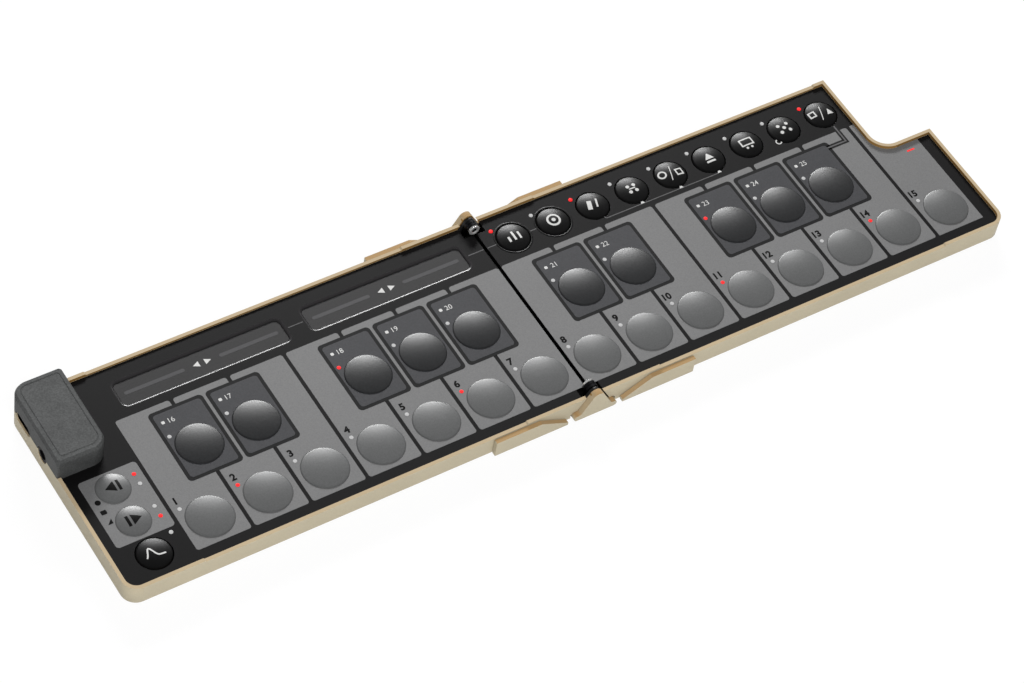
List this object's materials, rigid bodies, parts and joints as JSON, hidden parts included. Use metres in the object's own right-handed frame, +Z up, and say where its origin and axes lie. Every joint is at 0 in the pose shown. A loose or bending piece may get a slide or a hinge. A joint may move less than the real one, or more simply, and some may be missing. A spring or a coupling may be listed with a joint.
{
  "type": "foldable midi keyboard",
  "caption": "Slim music keyboard controller that folds in half on a pinned hinge, with round press pads, function buttons, touch strips and a raised connector housing.",
  "frame": {"origin": "under the hinge line, midway between the front and back ears, on the surface the open keyboard lies on", "axes": "+X along the keys from low to high, +Y from the player towards the back, +Z up out of the key faces"},
  "size_m": [0.33, 0.0826, 0.0152],
  "materials": {
    "case_shell": "fine moulded texture, warm beige",
    "face_plate": "flat, near-black charcoal",
    "circuit_board": "green solder mask",
    "switch_metal": "stamped domes",
    "light_pipe": "frosted clear",
    "housing": "fine grain, grey",
    "steel": "bright, plain",
    "socket_black": "moulded black",
    "strip_film": "smooth dark film",
    "liner_black": "black",
    "flex_film": "black film",
    "natural_pad": "satin grey",
    "sharp_pad": "satin dark grey",
    "black_button": "satin black"
  },
  "bodies": {
    "left_half": {"left_case": "case_shell", "left_plate": "face_plate", "left_board": "circuit_board", "left_switches": "switch_metal", "left_lights": "light_pipe", "connector_housing": "housing", "usb_socket": "steel", "audio_jack": "socket_black", "connector_board": "circuit_board", "touch_strips": "strip_film", "left_hinge_leaves": "steel", "left_screws": "steel", "flex_cable": "flex_film"},
    "right_half": {"right_case": "case_shell", "right_plate": "face_plate", "right_board": "circuit_board", "right_switches": "switch_metal", "right_lights": "light_pipe", "right_hinge_leaves": "steel", "right_screws": "steel"},
    "hinge_spine": {"spine_cover": "case_shell", "spine_liners": "liner_black", "hinge_pins": "steel"},
    "key_pad_1_body": {"key_pad_1": "natural_pad"},
    "key_pad_2_body": {"key_pad_2": "natural_pad"},
    "key_pad_3_body": {"key_pad_3": "natural_pad"},
    "key_pad_4_body": {"key_pad_4": "natural_pad"},
    "key_pad_5_body": {"key_pad_5": "natural_pad"},
    "key_pad_6_body": {"key_pad_6": "natural_pad"},
    "key_pad_7_body": {"key_pad_7": "natural_pad"},
    "key_pad_8_body": {"key_pad_8": "natural_pad"},
    "key_pad_9_body": {"key_pad_9": "natural_pad"},
    "key_pad_10_body": {"key_pad_10": "natural_pad"},
    "key_pad_11_body": {"key_pad_11": "natural_pad"},
    "key_pad_12_body": {"key_pad_12": "natural_pad"},
    "key_pad_13_body": {"key_pad_13": "natural_pad"},
    "key_pad_14_body": {"key_pad_14": "natural_pad"},
    "key_pad_15_body": {"key_pad_15": "natural_pad"},
    "sharp_pad_1_body": {"sharp_pad_1": "sharp_pad"},
    "sharp_pad_2_body": {"sharp_pad_2": "sharp_pad"},
    "sharp_pad_3_body": {"sharp_pad_3": "sharp_pad"},
    "sharp_pad_4_body": {"sharp_pad_4": "sharp_pad"},
    "sharp_pad_5_body": {"sharp_pad_5": "sharp_pad"},
    "sharp_pad_6_body": {"sharp_pad_6": "sharp_pad"},
    "sharp_pad_7_body": {"sharp_pad_7": "sharp_pad"},
    "sharp_pad_8_body": {"sharp_pad_8": "sharp_pad"},
    "sharp_pad_9_body": {"sharp_pad_9": "sharp_pad"},
    "sharp_pad_10_body": {"sharp_pad_10": "sharp_pad"},
    "panel_button_1_body": {"panel_button_1": "natural_pad"},
    "panel_button_2_body": {"panel_button_2": "natural_pad"},
    "panel_button_3_body": {"panel_button_3": "black_button"},
    "top_button_1_body": {"top_button_1": "black_button"},
    "top_button_2_body": {"top_button_2": "black_button"},
    "top_button_3_body": {"top_button_3": "black_button"},
    "top_button_4_body": {"top_button_4": "black_button"},
    "top_button_5_body": {"top_button_5": "black_button"},
    "top_button_6_body": {"top_button_6": "black_button"},
    "top_button_7_body": {"top_button_7": "black_button"},
    "top_button_8_body": {"top_button_8": "black_button"},
    "top_button_9_body": {"top_button_9": "black_button"}
  },
  "joints": [
    {"name": "fold", "type": "hinge", "parent": "left_half", "child": "right_half", "pos_m": [0, 0, 0.00775], "axis": [0, -1, 0], "range_deg": [0, 180], "deforming": ["flex_cable"]},
    {"name": "spine_turn", "type": "hinge", "parent": "left_half", "child": "hinge_spine", "pos_m": [0, 0, 0.00775], "axis": [0, -1, 0], "range_deg": [0, 90]},
    {"name": "press_key_pad_1", "type": "slide", "parent": "left_half", "child": "key_pad_1_body", "axis": [0, 0, -1], "range_m": [0, 0.0007], "stiffness_N_per_m": 800},
    {"name": "press_key_pad_2", "type": "slide", "parent": "left_half", "child": "key_pad_2_body", "axis": [0, 0, -1], "range_m": [0, 0.0007], "stiffness_N_per_m": 800},
    {"name": "press_key_pad_3", "type": "slide", "parent": "left_half", "child": "key_pad_3_body", "axis": [0, 0, -1], "range_m": [0, 0.0007], "stiffness_N_per_m": 800},
    {"name": "press_key_pad_4", "type": "slide", "parent": "left_half", "child": "key_pad_4_body", "axis": [0, 0, -1], "range_m": [0, 0.0007], "stiffness_N_per_m": 800},
    {"name": "press_key_pad_5", "type": "slide", "parent": "left_half", "child": "key_pad_5_body", "axis": [0, 0, -1], "range_m": [0, 0.0007], "stiffness_N_per_m": 800},
    {"name": "press_key_pad_6", "type": "slide", "parent": "left_half", "child": "key_pad_6_body", "axis": [0, 0, -1], "range_m": [0, 0.0007], "stiffness_N_per_m": 800},
    {"name": "press_key_pad_7", "type": "slide", "parent": "left_half", "child": "key_pad_7_body", "axis": [0, 0, -1], "range_m": [0, 0.0007], "stiffness_N_per_m": 800},
    {"name": "press_key_pad_8", "type": "slide", "parent": "right_half", "child": "key_pad_8_body", "axis": [0, 0, -1], "range_m": [0, 0.0007], "stiffness_N_per_m": 800},
    {"name": "press_key_pad_9", "type": "slide", "parent": "right_half", "child": "key_pad_9_body", "axis": [0, 0, -1], "range_m": [0, 0.0007], "stiffness_N_per_m": 800},
    {"name": "press_key_pad_10", "type": "slide", "parent": "right_half", "child": "key_pad_10_body", "axis": [0, 0, -1], "range_m": [0, 0.0007], "stiffness_N_per_m": 800},
    {"name": "press_key_pad_11", "type": "slide", "parent": "right_half", "child": "key_pad_11_body", "axis": [0, 0, -1], "range_m": [0, 0.0007], "stiffness_N_per_m": 800},
    {"name": "press_key_pad_12", "type": "slide", "parent": "right_half", "child": "key_pad_12_body", "axis": [0, 0, -1], "range_m": [0, 0.0007], "stiffness_N_per_m": 800},
    {"name": "press_key_pad_13", "type": "slide", "parent": "right_half", "child": "key_pad_13_body", "axis": [0, 0, -1], "range_m": [0, 0.0007], "stiffness_N_per_m": 800},
    {"name": "press_key_pad_14", "type": "slide", "parent": "right_half", "child": "key_pad_14_body", "axis": [0, 0, -1], "range_m": [0, 0.0007], "stiffness_N_per_m": 800},
    {"name": "press_key_pad_15", "type": "slide", "parent": "right_half", "child": "key_pad_15_body", "axis": [0, 0, -1], "range_m": [0, 0.0007], "stiffness_N_per_m": 800},
    {"name": "press_sharp_pad_1", "type": "slide", "parent": "left_half", "child": "sharp_pad_1_body", "axis": [0, 0, -1], "range_m": [0, 0.0007], "stiffness_N_per_m": 800},
    {"name": "press_sharp_pad_2", "type": "slide", "parent": "left_half", "child": "sharp_pad_2_body", "axis": [0, 0, -1], "range_m": [0, 0.0007], "stiffness_N_per_m": 800},
    {"name": "press_sharp_pad_3", "type": "slide", "parent": "left_half", "child": "sharp_pad_3_body", "axis": [0, 0, -1], "range_m": [0, 0.0007], "stiffness_N_per_m": 800},
    {"name": "press_sharp_pad_4", "type": "slide", "parent": "left_half", "child": "sharp_pad_4_body", "axis": [0, 0, -1], "range_m": [0, 0.0007], "stiffness_N_per_m": 800},
    {"name": "press_sharp_pad_5", "type": "slide", "parent": "left_half", "child": "sharp_pad_5_body", "axis": [0, 0, -1], "range_m": [0, 0.0007], "stiffness_N_per_m": 800},
    {"name": "press_sharp_pad_6", "type": "slide", "parent": "right_half", "child": "sharp_pad_6_body", "axis": [0, 0, -1], "range_m": [0, 0.0007], "stiffness_N_per_m": 800},
    {"name": "press_sharp_pad_7", "type": "slide", "parent": "right_half", "child": "sharp_pad_7_body", "axis": [0, 0, -1], "range_m": [0, 0.0007], "stiffness_N_per_m": 800},
    {"name": "press_sharp_pad_8", "type": "slide", "parent": "right_half", "child": "sharp_pad_8_body", "axis": [0, 0, -1], "range_m": [0, 0.0007], "stiffness_N_per_m": 800},
    {"name": "press_sharp_pad_9", "type": "slide", "parent": "right_half", "child": "sharp_pad_9_body", "axis": [0, 0, -1], "range_m": [0, 0.0007], "stiffness_N_per_m": 800},
    {"name": "press_sharp_pad_10", "type": "slide", "parent": "right_half", "child": "sharp_pad_10_body", "axis": [0, 0, -1], "range_m": [0, 0.0007], "stiffness_N_per_m": 800},
    {"name": "press_panel_button_1", "type": "slide", "parent": "left_half", "child": "panel_button_1_body", "axis": [0, 0, -1], "range_m": [0, 0.0007], "stiffness_N_per_m": 800},
    {"name": "press_panel_button_2", "type": "slide", "parent": "left_half", "child": "panel_button_2_body", "axis": [0, 0, -1], "range_m": [0, 0.0007], "stiffness_N_per_m": 800},
    {"name": "press_panel_button_3", "type": "slide", "parent": "left_half", "child": "panel_button_3_body", "axis": [0, 0, -1], "range_m": [0, 0.0007], "stiffness_N_per_m": 800},
    {"name": "press_top_button_1", "type": "slide", "parent": "right_half", "child": "top_button_1_body", "axis": [0, 0, -1], "range_m": [0, 0.0007], "stiffness_N_per_m": 800},
    {"name": "press_top_button_2", "type": "slide", "parent": "right_half", "child": "top_button_2_body", "axis": [0, 0, -1], "range_m": [0, 0.0007], "stiffness_N_per_m": 800},
    {"name": "press_top_button_3", "type": "slide", "parent": "right_half", "child": "top_button_3_body", "axis": [0, 0, -1], "range_m": [0, 0.0007], "stiffness_N_per_m": 800},
    {"name": "press_top_button_4", "type": "slide", "parent": "right_half", "child": "top_button_4_body", "axis": [0, 0, -1], "range_m": [0, 0.0007], "stiffness_N_per_m": 800},
    {"name": "press_top_button_5", "type": "slide", "parent": "right_half", "child": "top_button_5_body", "axis": [0, 0, -1], "range_m": [0, 0.0007], "stiffness_N_per_m": 800},
    {"name": "press_top_button_6", "type": "slide", "parent": "right_half", "child": "top_button_6_body", "axis": [0, 0, -1], "range_m": [0, 0.0007], "stiffness_N_per_m": 800},
    {"name": "press_top_button_7", "type": "slide", "parent": "right_half", "child": "top_button_7_body", "axis": [0, 0, -1], "range_m": [0, 0.0007], "stiffness_N_per_m": 800},
    {"name": "press_top_button_8", "type": "slide", "parent": "right_half", "child": "top_button_8_body", "axis": [0, 0, -1], "range_m": [0, 0.0007], "stiffness_N_per_m": 800},
    {"name": "press_top_button_9", "type": "slide", "parent": "right_half", "child": "top_button_9_body", "axis": [0, 0, -1], "range_m": [0, 0.0007], "stiffness_N_per_m": 800}
  ],
  "couplings": [
    {"joint": "spine_turn", "follows": "fold", "ratio": 0.5}
  ]
}
